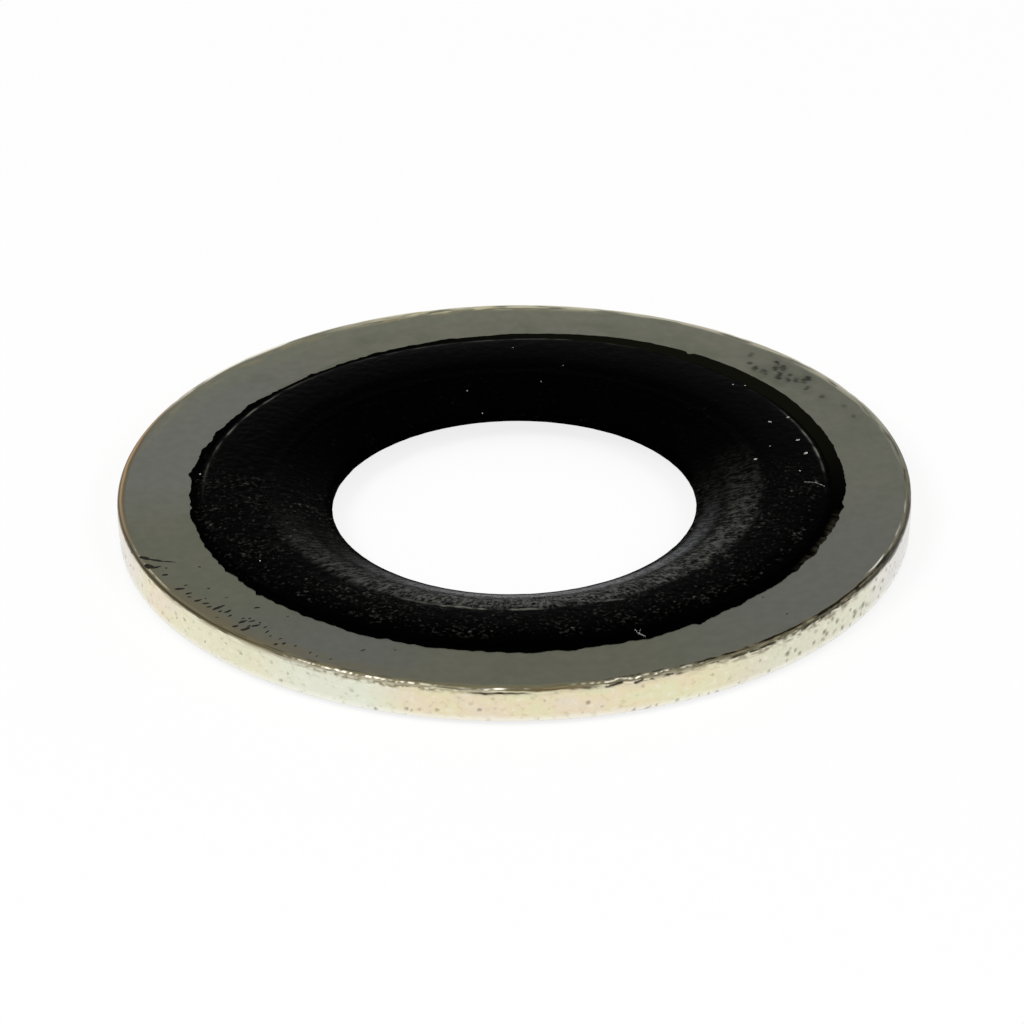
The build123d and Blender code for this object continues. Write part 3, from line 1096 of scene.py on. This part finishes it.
scratches_and_specks = [  # radius, turn, length, width and slant of each
    (14.02, 199.7, 0.46, 0.20, 41), (13.74, 200.8, 0.66, 0.14, 51), (13.34, 202.0, 0.66, 0.07, 57),
    (14.06, 202.3, 0.45, 0.24, 26), (13.85, 203.0, 0.33, 0.12, -88), (13.56, 203.8, 0.12, 0.08, 40),
    (13.80, 205.6, 0.25, 0.13, 82),
    (12.46, 205.7, 0.11, 0.10, 50), (12.92, 212.7, 0.10, 0.10, 69), (12.78, 216.8, 0.12, 0.04, 46),
    (12.42, 222.6, 0.22, 0.12, 58), (12.13, 228.4, 0.10, 0.05, 33), (11.53, 185.4, 0.10, 0.07, 0),
    (12.72, 245.0, 0.20, 0.08, 60), (12.31, 249.8, 0.08, 0.06, 0), (11.93, 317.2, 0.10, 0.06, 30),
    (13.37, 315.7, 0.09, 0.06, 0),
]
tick_slant = 78  # degrees to the circle, so nearly along the radius
random.seed(5)
marks = bmesh.new()
for mark in scratches_and_specks:
    lay_flake(marks, *mark)
for out, degrees, length, width in ticks:
    lay_flake(marks, out, degrees, 1.3 * length, width, random.gauss(tick_slant, 12))
    if length > 0.25:  # a long tick has a crumb beside it
        lay_flake(marks, out - random.uniform(0.22, 0.34), degrees + random.gauss(0, 0.4),
                  random.uniform(0.07, 0.14), random.uniform(0.05, 0.09),
                  random.gauss(tick_slant, 14))
finish_piece(marks, "residue_flakes", residue)

# %% [markdown]
# ## Dust on the rubber
#
# Rubber holds dust: pale grains on the crown and the taper, and a few fibres, two of them over the
# skin's edge. A particle system could scatter them, but the few that show are better placed one by
# one. Each is dropped on the worn rubber by a ray cast straight down, so that it doesn't float,
# and a fibre is a row of thin grains.

# %% Pale dust
lint, tree, fluff = start_finish("pale_dust")
fluff_size = 0.1  # mm, of its clumps, drawn coarser than they are so that they show
clumps = add_node(tree, "TexNoise", {
    "Vector": place_in_mm(tree), "Scale": 1 / fluff_size})
clump_colour = add_node(tree, "ValToRGB", {"Fac": clumps}, stops=[
    (0.40, "#7f7e77"), (0.60, "#b8b7af")])
tree.links.new(clump_colour, fluff["Base Color"])
fluff["Roughness"].default_value = 0.9  # loose dust scatters light evenly, with no shine
print(lint.name, "has", len(tree.nodes), "nodes")

# %% Dropping a grain
grain_thickness = 0.008  # mm, above the rubber
drop_height = 3.0  # mm


def drop_grain(shape, out, degrees, length, width, slant):
    """Lays a flattened grain on the rubber, or else on the steel, at this radius and turn."""
    turn, above = spot_on_ring(out, degrees, drop_height)
    place, facing, _, _ = seal_ground.ray_cast(above, Vector((0, 0, -1)))
    if place is None:
        place, facing = Vector((above.x, above.y, upper_face * MM)), Vector((0, 0, 1))
    lean = Vector((0, 0, 1)).rotation_difference(facing).to_matrix().to_4x4()
    half_sizes = (length / 2, width / 2, grain_thickness)
    add_chip(shape, place, turn, slant, half_sizes, 1, lean)


print("grains are dropped from", drop_height, "mm")

# %% Grains of dust and fibres
random.seed(8)
dust = bmesh.new()
dust_grains = [  # radius, turn and size of each
    (11.00, 42.9, 0.10), (11.31, 41.3, 0.09), (11.17, 26.5, 0.18), (10.38, 25.9, 0.16),
    (10.78, 17.0, 0.18), (10.79, 11.6, 0.22), (8.91, 11.9, 0.20), (9.68, 16.3, 0.08),
    (10.35, 4.5, 0.10), (11.42, 173.0, 0.12), (10.52, 210.4, 0.09), (10.49, 89.9, 0.08),
    (7.92, 102.2, 0.07), (6.82, 99.5, 0.07), (8.27, 82.8, 0.07), (9.30, 78.5, 0.07),
]
for out, degrees, size in dust_grains:
    drop_grain(dust, out, degrees, size, 0.6 * size, random.uniform(-90, 90))
fibre_grain, fibre_width = 0.13, 0.03  # mm, the length of one of its grains, and its width
fibres = [  # each from one place to another, as radius and turn, its grains and their slant
    ((11.30, 291.8), (11.75, 292.7), 8, 80), ((11.35, 292.6), (11.52, 292.1), 3, 60),
    ((10.50, 359.9), (10.86, 359.8), 4, 88), ((10.86, 359.8), (11.14, 358.8), 4, 62),
]
for (out, degrees), (end_out, end_degrees), grains, slant in fibres:
    for number in range(grains):
        along = number / (grains - 1)
        drop_grain(dust, out + (end_out - out) * along,
                   degrees + (end_degrees - degrees) * along,
                   fibre_grain, fibre_width, slant + random.uniform(-20, 20))
finish_piece(dust, "dust_grains", lint)

# %% [markdown]
# ## The last lines
#
# Colours should render about as they are written, so the view is Standard.

# %% The view transform
scene.view_settings.view_transform = "Standard"
bpy.context.view_layer.update()
